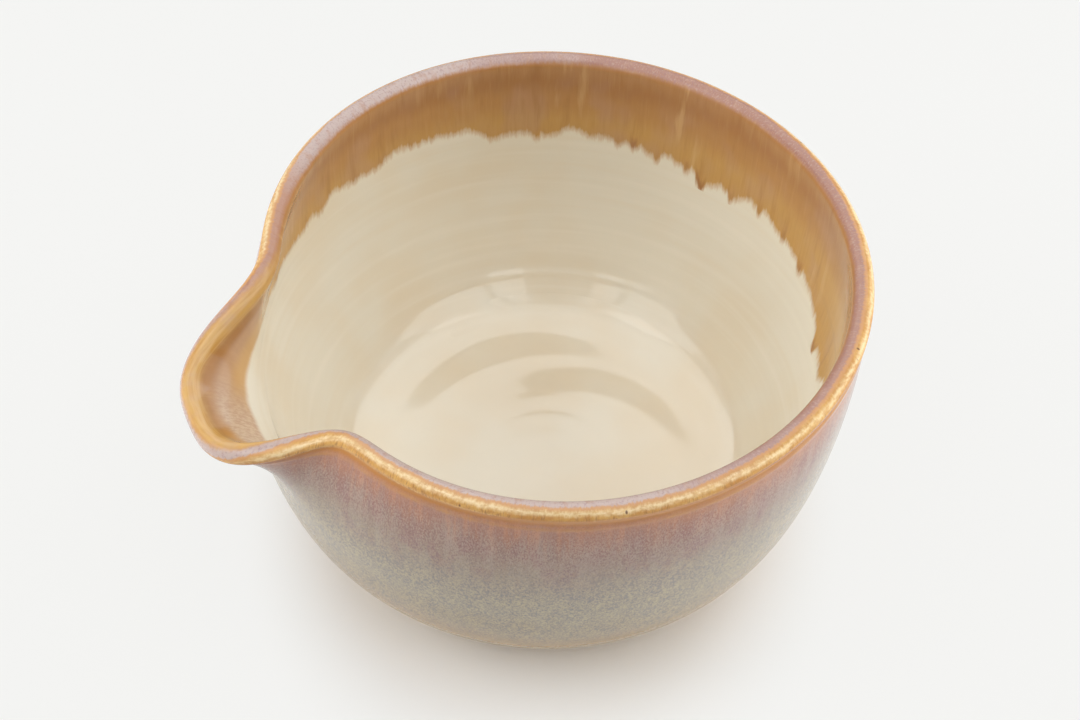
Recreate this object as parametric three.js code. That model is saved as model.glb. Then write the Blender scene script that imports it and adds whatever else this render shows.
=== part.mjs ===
import * as THREE from 'three';

// A wheel-thrown pouring bowl: one clay pot with a spout pulled from its lip, and three coats of glaze.
// Millimetres, +Z up, the foot on Z = 0, the axis of the pot on X = Y = 0, the spout along -X.

// Sizes of the thrown clay
const RIM_RADIUS = 94.2;
const BOWL_HEIGHT = 100.2;
const FOOT_RADIUS = 56;
const FOOT_BEVEL = 1.2;
const WALL_THICKNESS = 4.1;
const WALL_TAPER = 17.5;
const TAPER_CURVE = 2.04;
const TUCK_HEIGHT = 11;
const FLOOR_THICKNESS = 9;
const FLOOR_DISH = 5.3;
const DISH_CURVE = 2.5;
const FILLET_REACH = 15.4;
const FILLET_HEIGHT = 54;
const FILLET_ROUNDNESS = 2.1;

// Sizes of the pulled spout: angles run from the middle of the spout
const SPOUT_REACH = 31.5;
const SPOUT_HALF_ANGLE = 17.8;
const SPOUT_SQUARENESS = 3.18;
const SPOUT_DROP = 14.8;
const SPOUT_DEPTH = 43.3;
const PULL_CURVE = 1.53;
const NECK_PINCH = 13.2;
const NECK_SAG = 7.4;
const NECK_HALF_ANGLE = 36.2;

// Sizes of the glaze coats
const LINER_GLAZE = 0.7;
const OUTER_GLAZE = 0.8;
const RIM_GLAZE = 1.0;
const BARE_FOOT = 9;
const COLLAR_DEPTH = 9;
const EDGE_BEVEL = 1.5;
const BAND_DEPTH = 29;
const LONG_RUN = 18;
const LONG_RUN_ANGLE = 156;
const LONG_RUN_WIDTH = 17;
const RAGGED_EDGE = 1.6;

// Fineness of the surfaces
const SEGMENTS = 80;
const SPOUT_CROWDING = 0.4;

const DEGREE = Math.PI / 180;
const LIP_RADIUS = WALL_THICKNESS / 2;
const LIP_HEIGHT = BOWL_HEIGHT - LIP_RADIUS;
const COLLAR_HEIGHT = BOWL_HEIGHT - COLLAR_DEPTH;
const FILLET_TOP = FLOOR_THICKNESS + FILLET_HEIGHT;

// Angles round the pot, closer together at the spout
const ANGLES = Array.from({ length: SEGMENTS }, (_, i) => {
  const turn = (2 * Math.PI * i) / SEGMENTS;
  return turn - SPOUT_CROWDING * Math.sin(turn);
});

// Degrees between an angle and a given direction, from -180 to 180
function degreesFrom(angle, direction) {
  const turn = angle / DEGREE - direction;
  return turn - 360 * Math.round(turn / 360);
}

// The section of the pot: radius of each face at a height
function wallLine(z) {
  const below = Math.max(0, 1 - z / BOWL_HEIGHT);
  return RIM_RADIUS - WALL_TAPER * Math.pow(below, TAPER_CURVE);
}

function outerRadius(z) {
  const tuck = RIM_RADIUS - WALL_TAPER - FOOT_RADIUS;
  return wallLine(z) - tuck * Math.exp(-z / TUCK_HEIGHT);
}

// How far a height is below the top of the fillet: 0 at its top, 1 on the floor
function underFillet(z) {
  return THREE.MathUtils.clamp((FILLET_TOP - z) / FILLET_HEIGHT, 0, 1);
}

function innerRadius(z) {
  const side = Math.pow(1 - Math.pow(underFillet(z), FILLET_ROUNDNESS), 1 / FILLET_ROUNDNESS);
  return wallLine(z) - WALL_THICKNESS - FILLET_REACH * (1 - side);
}

// The floor is dished: it rises as a power of the radius, and the rise fades out up the fillet
const FLOOR_RADIUS = wallLine(FLOOR_THICKNESS) - WALL_THICKNESS - FILLET_REACH;

function dishRise(r, z) {
  return FLOOR_DISH * Math.pow(r / FLOOR_RADIUS, DISH_CURVE) * underFillet(z);
}

// How the spout is pulled: a tongue at the middle and a pinched, sagging neck on both sides
function tongue(angle) {
  return Math.exp(-Math.pow(Math.abs(degreesFrom(angle, 0)) / SPOUT_HALF_ANGLE, SPOUT_SQUARENESS));
}

function neck(angle) {
  return Math.exp(-0.5 * Math.pow(degreesFrom(angle, 0) / NECK_HALF_ANGLE, 2));
}

function pullAt(z) {
  return Math.pow(Math.max(0, (z - BOWL_HEIGHT + SPOUT_DEPTH) / SPOUT_DEPTH), PULL_CURVE);
}

// Middle of the wall at a height, before the pull (0) or after it (1)
function middle(z, angle, pulled) {
  const amount = pulled * pullAt(z);
  const out = SPOUT_REACH * tongue(angle) - NECK_PINCH * neck(angle);
  const down = SPOUT_DROP * tongue(angle) + NECK_SAG * neck(angle);
  const radius = (outerRadius(z) + innerRadius(z)) / 2 + amount * out;
  return new THREE.Vector3(-radius * Math.cos(angle), -radius * Math.sin(angle), z - amount * down);
}

// Directions across and up the wall at that place
function wallFrame(z, angle, pulled) {
  const step = 0.001;
  const up = middle(z + step, angle, pulled).sub(middle(z - step, angle, pulled)).normalize();
  const round = middle(z, angle + step, pulled).sub(middle(z, angle - step, pulled));
  const across = round.cross(up).normalize();
  return { origin: middle(z, angle, pulled), across, up };
}

// Carry a point of the plain section with the wall when the spout is pulled, so the wall keeps its thickness
function carry(point, angle) {
  const place = new THREE.Vector3(-point.r * Math.cos(angle), -point.r * Math.sin(angle), point.z);
  if (point.at === undefined || pullAt(point.at) === 0) {
    return place;
  }
  const before = wallFrame(point.at, angle, 0);
  const after = wallFrame(point.at, angle, 1);
  const offset = place.sub(before.origin);
  return after.origin
    .addScaledVector(after.across, offset.dot(before.across))
    .addScaledVector(after.up, offset.dot(before.up));
}

// Points on the faces of the clay, or lifted off them by a thickness of glaze
function onOutside(z, lift) {
  const slope = (outerRadius(z + 0.01) - outerRadius(z - 0.01)) / 0.02;
  const length = Math.hypot(1, slope);
  return { r: outerRadius(z) + lift / length, z: z - (lift * slope) / length, at: z };
}

function insideHeight(z) {
  return z + dishRise(innerRadius(z), z);
}

function onInside(z, lift) {
  const out = innerRadius(z + 0.01) - innerRadius(z - 0.01);
  const up = insideHeight(z + 0.01) - insideHeight(z - 0.01);
  const length = Math.hypot(out, up);
  return { r: innerRadius(z) - (lift * up) / length, z: insideHeight(z) + (lift * out) / length, at: z };
}

function onLip(turn, lift) {
  const radius = LIP_RADIUS + lift;
  const centre = (outerRadius(LIP_HEIGHT) + innerRadius(LIP_HEIGHT)) / 2;
  return {
    r: centre + radius * Math.cos(turn),
    z: LIP_HEIGHT + radius * Math.sin(turn),
    at: LIP_HEIGHT,
  };
}

function onFloor(r, lift) {
  return { r, z: FLOOR_THICKNESS + dishRise(r, FLOOR_THICKNESS) + lift };
}

// Height of the ragged lower edge of the amber band, with its one long run
function bandHeight(angle) {
  const run = LONG_RUN * Math.exp(-Math.pow(degreesFrom(angle, LONG_RUN_ANGLE) / LONG_RUN_WIDTH, 2));
  const ragged = Math.sin(13 * angle + 1) + Math.sin(19 * angle + 2.4) + 0.7 * Math.sin(7 * angle);
  return BOWL_HEIGHT - BAND_DEPTH - run - RAGGED_EDGE * ragged;
}

// A ring is one loop of corners round the pot. Two solids that touch share the same ring.
let ringCount = 0;

function ring(pointAt) {
  ringCount += 1;
  return { order: ringCount, corners: ANGLES.map((angle) => carry(pointAt(angle), angle)) };
}

function pole(z) {
  ringCount += 1;
  return { order: ringCount, corners: [new THREE.Vector3(0, 0, z)] };
}

// Steps from one value to another, both ends left out
function between(from, to, count) {
  return Array.from({ length: count }, (_, i) => from + ((to - from) * (i + 1)) / (count + 1));
}

// Skin a chain of rings. Every strip is cut from its older ring to its newer one, the same on both sides.
function skin(chain, closed) {
  const corners = [];
  const starts = new Map();
  for (const loop of chain) {
    starts.set(loop, corners.length);
    corners.push(...loop.corners);
  }
  const faces = [];
  const strips = closed ? chain.length : chain.length - 1;
  for (let j = 0; j < strips; j += 1) {
    const low = chain[j];
    const high = chain[(j + 1) % chain.length];
    for (let i = 0; i < SEGMENTS; i += 1) {
      const next = (i + 1) % SEGMENTS;
      const a = starts.get(low) + (low.corners.length > 1 ? i : 0);
      const b = starts.get(low) + (low.corners.length > 1 ? next : 0);
      const c = starts.get(high) + (high.corners.length > 1 ? next : 0);
      const d = starts.get(high) + (high.corners.length > 1 ? i : 0);
      if (low.corners.length === 1) {
        faces.push(a, c, d);
      } else if (high.corners.length === 1) {
        faces.push(a, b, c);
      } else if (low.order < high.order) {
        faces.push(a, b, c, a, c, d);
      } else {
        faces.push(a, b, d, b, c, d);
      }
    }
  }
  const geometry = new THREE.BufferGeometry();
  geometry.setAttribute(
    'position',
    new THREE.Float32BufferAttribute(corners.flatMap((corner) => corner.toArray()), 3),
  );
  geometry.setIndex(faces);
  geometry.computeVertexNormals();
  return geometry;
}

// Rings of the clay, from the middle of the foot over the lip to the middle of the floor
const footRings = [
  pole(0),
  ring(() => ({ r: FOOT_RADIUS - FOOT_BEVEL, z: 0 })),
  ring(() => onOutside(FOOT_BEVEL, 0)),
  ring(() => onOutside(BARE_FOOT / 2, 0)),
];
const glazeLine = ring(() => onOutside(BARE_FOOT, 0));
const outerHeights = between(BARE_FOOT, COLLAR_HEIGHT, 8);
const outerRings = outerHeights.map((z) => ring(() => onOutside(z, 0)));
const collarLine = ring(() => onOutside(COLLAR_HEIGHT, 0));
const lipTurns = between(0, Math.PI, 5);
const collarHeights = [COLLAR_HEIGHT + EDGE_BEVEL, LIP_HEIGHT];
const rimShares = [0.3, 0.6];

// The rings of the lip coat, once on the clay and once lifted off it
function rimRings(lift) {
  const collar = collarHeights.map((z) => ring(() => onOutside(z, lift)));
  const lip = lipTurns.map((turn) => ring(() => onLip(turn, lift)));
  const edge = (angle) => bandHeight(angle) + EDGE_BEVEL;
  const start = ring(() => onInside(LIP_HEIGHT, lift));
  const band = rimShares.map((share) =>
    ring((angle) => onInside(LIP_HEIGHT + (edge(angle) - LIP_HEIGHT) * share, lift)),
  );
  return [...collar, ...lip, start, ...band, ring((angle) => onInside(edge(angle), lift))];
}

const rimOnClay = rimRings(0);
const bandLine = ring((angle) => onInside(bandHeight(angle), 0));
const linerShares = between(0, Math.PI / 2, 8).map((turn) => 1 - Math.sin(turn));
const floorShares = [1, 0.75, 0.5, 0.25];

// The rings of the liner below the band, closer together near the floor, once on the clay and once lifted off it
function linerRings(lift) {
  const wall = linerShares.map((share) =>
    ring((angle) => onInside(FLOOR_THICKNESS + (bandHeight(angle) - FLOOR_THICKNESS) * share, lift)),
  );
  const floor = floorShares.map((share) => ring(() => onFloor(FLOOR_RADIUS * share, lift)));
  return [...wall, ...floor, pole(FLOOR_THICKNESS + lift)];
}

const linerOnClay = linerRings(0);

// Rings of the glazed faces
const linerFace = linerRings(LINER_GLAZE);
const rimFace = rimRings(RIM_GLAZE);
const outerFoot = ring(() => onOutside(BARE_FOOT + EDGE_BEVEL, OUTER_GLAZE));
const outerFace = outerHeights.map((z) => ring(() => onOutside(z, OUTER_GLAZE)));
const collarEdge = ring(() => onOutside(COLLAR_HEIGHT, OUTER_GLAZE));
const bandEdge = ring((angle) => onInside(bandHeight(angle), LINER_GLAZE));

const clayChain = [
  ...footRings,
  glazeLine,
  ...outerRings,
  collarLine,
  ...rimOnClay,
  bandLine,
  ...linerOnClay,
];
const outerChain = [
  glazeLine,
  outerFoot,
  ...outerFace,
  collarEdge,
  collarLine,
  ...outerRings.toReversed(),
];
const rimChain = [
  collarLine,
  collarEdge,
  ...rimFace,
  bandEdge,
  bandLine,
  ...rimOnClay.toReversed(),
];
const linerChain = [
  ...linerOnClay.toReversed(),
  bandLine,
  bandEdge,
  ...linerFace,
];

// The parts
const bowl = new THREE.Group();

function addPart(name, geometry, color, roughness) {
  const material = new THREE.MeshStandardMaterial({ color, roughness, metalness: 0 });
  const mesh = new THREE.Mesh(geometry, material);
  mesh.name = name;
  bowl.add(mesh);
}

addPart('clay_body', skin(clayChain, false), '#b79a74', 0.85);
addPart('liner_glaze', skin(linerChain, false), '#ddd0b6', 0.15);
addPart('outer_glaze', skin(outerChain, true), '#a39a90', 0.3);
addPart('rim_glaze', skin(rimChain, true), '#b98b4e', 0.15);

export default bowl;
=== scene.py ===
"""A spouted stoneware bowl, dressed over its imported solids.

One section of the pot is carried round its axis and pulled out at the spout. Four pieces share that section:
the clay, the cream liner, the mottled outer glaze and the amber rim glaze. Sizes are in millimetres and
degrees, and become metres where a mesh is made. The angle round the pot starts at the middle of the spout.
"""

import logging
import math
from dataclasses import dataclass, field
from enum import Enum
from functools import cached_property
from typing import Sequence

import bpy
import numpy as np
from bpy.types import Material, Mesh, Node, NodeSocket, Object
from mathutils import Matrix, Vector


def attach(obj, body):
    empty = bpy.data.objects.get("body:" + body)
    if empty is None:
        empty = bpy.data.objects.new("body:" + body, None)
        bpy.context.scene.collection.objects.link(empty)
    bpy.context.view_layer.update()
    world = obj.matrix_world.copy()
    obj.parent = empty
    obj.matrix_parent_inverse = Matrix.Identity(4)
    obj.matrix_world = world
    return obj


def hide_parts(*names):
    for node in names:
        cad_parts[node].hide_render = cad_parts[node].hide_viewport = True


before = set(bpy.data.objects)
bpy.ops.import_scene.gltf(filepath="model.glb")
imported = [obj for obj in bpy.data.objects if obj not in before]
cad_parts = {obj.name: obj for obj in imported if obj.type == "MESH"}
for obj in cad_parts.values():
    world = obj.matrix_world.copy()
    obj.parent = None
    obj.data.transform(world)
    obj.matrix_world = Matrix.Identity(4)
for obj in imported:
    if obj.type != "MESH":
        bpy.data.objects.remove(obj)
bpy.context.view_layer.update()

LOG = logging.getLogger("spouted_bowl")
MM = 0.001
FLOW_RADIUS = 90.0
REFRACTION = 1.5
SHARP_ANGLE = math.radians(42)
Colour = tuple[float, float, float]
Point = tuple[float, float, float]
Value = float | NodeSocket
Stops = Sequence[tuple[float, Colour]]


class Solid(str, Enum):
    """The solids that the pieces stand for."""

    CLAY = "clay_body"
    LINER = "liner_glaze"
    OUTER = "outer_glaze"
    RIM = "rim_glaze"


class Slot(str, Enum):
    """The material slots of the record."""

    CLAY = "bare_clay"
    CREAM = "cream_glaze"
    MOTTLED = "mottled_glaze"
    AMBER = "amber_glaze"


# The form of the pot


@dataclass(frozen=True)
class Section:
    """The plain section of the clay as a fine line from the floor's middle, over the lip, to the foot.

    along is the length of the line from the lip's crest, negative inside the bowl; at is the height on
    the wall that each point belongs to; lean_r and lean_z are the direction that points out of the clay.
    """

    along: np.ndarray
    radius: np.ndarray
    height: np.ndarray
    at: np.ndarray
    lean_r: np.ndarray
    lean_z: np.ndarray


@dataclass(frozen=True)
class PotForm:
    """The thrown wall, the floor and the pulled spout."""

    rim_radius: float = 94.2
    bowl_height: float = 100.2
    foot_radius: float = 56.0
    foot_bevel: float = 1.2
    wall_thickness: float = 4.1
    wall_taper: float = 17.5
    taper_curve: float = 2.04
    tuck_height: float = 11.0
    floor_thickness: float = 9.0
    floor_dish: float = 5.3
    dish_curve: float = 2.5
    fillet_reach: float = 15.4
    fillet_height: float = 54.0
    fillet_roundness: float = 2.1
    spout_reach: float = 31.5
    spout_half_angle: float = 17.8
    spout_squareness: float = 3.18
    spout_drop: float = 14.8
    spout_depth: float = 43.3
    pull_curve: float = 1.53
    neck_pinch: float = 13.2
    neck_sag: float = 7.4
    neck_half_angle: float = 36.2
    ease_length: float = 5.0
    ease_points: int = 1200
    flat_points: int = 300
    inner_points: int = 400
    lip_points: int = 80
    outer_points: int = 700
    fillet_crowding: float = 1.2
    step: float = 0.02

    @property
    def lip_height(self) -> float:
        """Height of the middle of the round lip."""
        return self.bowl_height - self.wall_thickness / 2

    @property
    def floor_radius(self) -> float:
        """Radius of the flat part of the floor."""
        wall = float(self.wall_line(np.float64(self.floor_thickness)))
        return wall - self.wall_thickness - self.fillet_reach

    def wall_line(self, z: np.ndarray) -> np.ndarray:
        """Radius of the wall without its foot: the rim less a taper that grows as a power of the depth."""
        depth = np.clip(1 - z / self.bowl_height, 1e-9, None)
        return self.rim_radius - self.wall_taper * depth**self.taper_curve

    def outer_radius(self, z: np.ndarray) -> np.ndarray:
        """Radius of the outside: the wall line less a tuck that dies away from the foot as an exponential."""
        tuck = self.rim_radius - self.wall_taper - self.foot_radius
        return self.wall_line(z) - tuck * np.exp(-z / self.tuck_height)

    def inner_radius(self, z: np.ndarray) -> np.ndarray:
        """Radius of the inside: the wall line less the wall, and a quarter superellipse down to the floor."""
        side = np.clip(1 - self.under_fillet(z) ** self.fillet_roundness, 0, 1) ** (1 / self.fillet_roundness)
        return self.wall_line(z) - self.wall_thickness - self.fillet_reach * (1 - side)

    def under_fillet(self, z: np.ndarray) -> np.ndarray:
        """How far a height is below the top of the fillet: 0 at its top, 1 on the floor."""
        return np.clip((self.floor_thickness + self.fillet_height - z) / self.fillet_height, 0, 1)

    def dish(self, radius: np.ndarray, z: np.ndarray) -> np.ndarray:
        """Rise of the dished floor: a power of the radius, fading out up the fillet."""
        return self.floor_dish * (radius / self.floor_radius) ** self.dish_curve * self.under_fillet(z)

    @cached_property
    def section(self) -> Section:
        """The plain section of the clay: floor, fillet, inner wall, lip, outer wall and foot in one line.

        The floor and the walls follow their radii by height, and the lip is half a circle between them.

        Returns:
            The section, with its inner line eased.
        """
        top = self.floor_thickness + self.fillet_height
        quarter = np.linspace(0, math.pi / 2, self.inner_points)
        rise = top - self.fillet_height * np.cos(quarter) ** self.fillet_crowding
        wall_in = np.linspace(top, self.lip_height, self.inner_points)[1:]
        roll = np.linspace(math.pi, 0, self.lip_points)[1:-1]
        wall_out = np.linspace(self.lip_height, self.foot_bevel, self.outer_points)
        lip_in = self.inner_radius(np.float64(self.lip_height))
        lip_mid = (lip_in + self.outer_radius(np.float64(self.lip_height))) / 2
        half = self.wall_thickness / 2
        flat = np.linspace(0, self.floor_radius, self.flat_points)[:-1]
        base = np.linspace(self.foot_radius - self.foot_bevel, 0, self.flat_points)
        radius = np.concatenate(
            [flat, self.inner_radius(rise), self.inner_radius(wall_in), lip_mid + half * np.cos(roll),
             self.outer_radius(wall_out), base]
        )
        height = np.concatenate(
            [self.floor_thickness + self.dish(flat, np.full_like(flat, self.floor_thickness)),
             rise + self.dish(self.inner_radius(rise), rise), wall_in, self.lip_height + half * np.sin(roll),
             wall_out, np.zeros_like(base)]
        )
        at = np.concatenate(
            [np.full_like(flat, self.floor_thickness), rise, wall_in, np.full_like(roll, self.lip_height),
             wall_out, np.zeros_like(base)]
        )
        inside = len(flat) + len(rise) + len(wall_in)
        radius[:inside], height[:inside] = self.soften(radius[:inside], height[:inside])
        run = np.concatenate([[0.0], np.cumsum(np.hypot(np.diff(radius), np.diff(height)))])
        slope_r, slope_z = np.gradient(radius, run), np.gradient(height, run)
        size = np.hypot(slope_r, slope_z)
        over_lip = run[inside : inside + len(roll)]
        crest = np.interp(math.pi / 2, roll[::-1], over_lip[::-1])
        return Section(run - crest, radius, height, at, -slope_z / size, slope_r / size)

    def soften(self, radius: np.ndarray, height: np.ndarray) -> tuple[np.ndarray, np.ndarray]:
        """The inner line with its bends eased.

        Each point becomes the mean of its neighbours, weighted by a raised cosine over the ease length to
        each side. The line is mirrored past the axis and carried on straight past its other end.

        Args:
            radius: radii of the line, from the axis outwards.
            height: heights of the line.

        Returns:
            The eased radii and heights.
        """
        run = np.concatenate([[0.0], np.cumsum(np.hypot(np.diff(radius), np.diff(height)))])
        even = np.linspace(0, run[-1], self.ease_points)
        reach = int(round(self.ease_length / (even[1] - even[0])))
        kernel = np.hanning(2 * reach + 1) / np.hanning(2 * reach + 1).sum()
        eased = []
        for values, sign in ((radius, -1), (height, 1)):
            plain = np.interp(even, run, values)
            left = values[0] + sign * (plain[reach:0:-1] - values[0])
            right = 2 * plain[-1] - plain[-2 : -reach - 2 : -1]
            smooth = np.convolve(np.concatenate([left, plain, right]), kernel, mode="valid")
            eased.append(np.interp(run, even, smooth))
        return eased[0], eased[1]

    def along_inside(self, z: np.ndarray) -> np.ndarray:
        """Place on the section of a height of the inner wall.

        Args:
            z: heights above the table.

        Returns:
            Lengths from the lip's crest, below zero.
        """
        line = self.section
        wall = (line.along < 0) & (line.radius > self.floor_radius)
        return np.interp(z, line.height[wall], line.along[wall])

    def along_outside(self, z: np.ndarray) -> np.ndarray:
        """Place on the section of a height of the outer wall.

        Args:
            z: heights above the table.

        Returns:
            Lengths from the lip's crest, above zero.
        """
        line = self.section
        wall = line.along > 0
        return np.interp(z, line.height[wall][::-1], line.along[wall][::-1])

    def middle(self, at: np.ndarray, angle: np.ndarray, pulled: float) -> tuple[np.ndarray, np.ndarray]:
        """Radius and height of the wall's mid surface.

        Where it is pulled, a flat-topped bump round the spout moves it out and down, a wider bell draws the
        neck in and down, and both grow as a power of the height above the root of the spout.

        Args:
            at: heights on the plain wall.
            angle: angles from the middle of the spout, in radians.
            pulled: 0 for the plain pot, 1 for the pot with its spout.

        Returns:
            The radii and the heights.
        """
        turn = np.degrees(np.abs(np.arctan2(np.sin(angle), np.cos(angle))))
        tongue = np.exp(-((turn / self.spout_half_angle) ** self.spout_squareness))
        neck = np.exp(-0.5 * (turn / self.neck_half_angle) ** 2)
        root = self.bowl_height - self.spout_depth
        pull = pulled * np.clip((at - root) / self.spout_depth, 1e-9, None) ** self.pull_curve
        radius = (self.outer_radius(at) + self.inner_radius(at)) / 2
        return (
            radius + pull * (self.spout_reach * tongue - self.neck_pinch * neck),
            at - pull * (self.spout_drop * tongue + self.neck_sag * neck),
        )

    def mid_point(self, at: np.ndarray, angle: np.ndarray) -> np.ndarray:
        """Points of the pulled mid surface in space, with the spout along -X."""
        radius, height = self.middle(at, angle, 1.0)
        return np.stack([-radius * np.cos(angle), -radius * np.sin(angle), height], axis=-1)

    def carry(self, radius: np.ndarray, height: np.ndarray, at: np.ndarray, angle: np.ndarray) -> np.ndarray:
        """Points of the plain section carried to the pulled pot.

        Each point keeps its offset from the mid surface, measured across the wall and up the wall, and the
        two directions turn with the pulled surface, so the wall keeps its thickness in the spout.

        Args:
            radius: plain radii.
            height: plain heights.
            at: the heights on the wall that the points belong to.
            angle: angles from the middle of the spout, in radians.

        Returns:
            Points with a last axis of three, in millimetres.
        """
        mid_r, mid_z = self.middle(at, angle, 0.0)
        high_r, high_z = self.middle(at + self.step, angle, 0.0)
        low_r, low_z = self.middle(at - self.step, angle, 0.0)
        size = np.hypot(high_r - low_r, high_z - low_z)
        up_r, up_z = (high_r - low_r) / size, (high_z - low_z) / size
        across_by = (radius - mid_r) * up_z - (height - mid_z) * up_r
        up_by = (radius - mid_r) * up_r + (height - mid_z) * up_z
        up = unit(self.mid_point(at + self.step, angle) - self.mid_point(at - self.step, angle))
        turn = self.step / self.rim_radius
        around = self.mid_point(at, angle + turn) - self.mid_point(at, angle - turn)
        across = unit(np.cross(around, up))
        return self.mid_point(at, angle) + across_by[..., None] * across + up_by[..., None] * up

    def place(self, along: np.ndarray, angle: np.ndarray, lift: np.ndarray) -> np.ndarray:
        """Points at a place on the section and an angle, lifted off the clay along its own direction.

        Args:
            along: lengths on the section from the lip's crest.
            angle: angles from the middle of the spout, in radians.
            lift: heights above the clay.

        Returns:
            Points with a last axis of three, in metres.
        """
        line = self.section
        radius = np.interp(along, line.along, line.radius) + lift * np.interp(along, line.along, line.lean_r)
        height = np.interp(along, line.along, line.height) + lift * np.interp(along, line.along, line.lean_z)
        return self.carry(radius, height, np.interp(along, line.along, line.at), angle) * MM


def unit(vectors: np.ndarray) -> np.ndarray:
    """The vectors at length one."""
    return vectors / np.linalg.norm(vectors, axis=-1, keepdims=True)


def bell(x: np.ndarray, middle: float, width: float) -> np.ndarray:
    """A bell of height one: the exponential of minus the square of the distance over the width."""
    return np.exp(-(((x - middle) / width) ** 2))


def ease(x: np.ndarray, low: float, high: float) -> np.ndarray:
    """A smooth step from 0 at low to 1 at high."""
    t = np.clip((x - low) / (high - low), 0, 1)
    return t * t * (3 - 2 * t)


def waver(angle: np.ndarray, seed: int, lowest: int, highest: int) -> np.ndarray:
    """A closed random line round the pot: a sum of sines with whole numbers of waves and seeded phases.

    Args:
        angle: angles in radians.
        seed: start of the random numbers.
        lowest: fewest waves round the pot.
        highest: most waves round the pot.

    Returns:
        Values with a spread of one.
    """
    draw = np.random.default_rng(seed)
    waves = np.arange(lowest, highest + 1)
    phase, weight = draw.uniform(0, 2 * math.pi, len(waves)), draw.normal(0, 1, len(waves))
    line = np.tensordot(weight, np.sin(waves[:, None] * angle.ravel() + phase[:, None]), axes=1)
    return (line / math.sqrt(0.5 * len(waves))).reshape(angle.shape)


@dataclass(frozen=True)
class ThrowingRing:
    """A wave down the wall: its weight and pitch, how often it climbs in a turn, its start and its wander."""

    weight: float
    pitch: float
    climb: float
    start: float
    wander: float


@dataclass(frozen=True)
class FingerMark:
    """A long mark on the floor: its radius at an angle, how fast it winds out, and the angles of its ends."""

    radius: float
    at: float
    drift: float
    start: float
    stop: float


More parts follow.
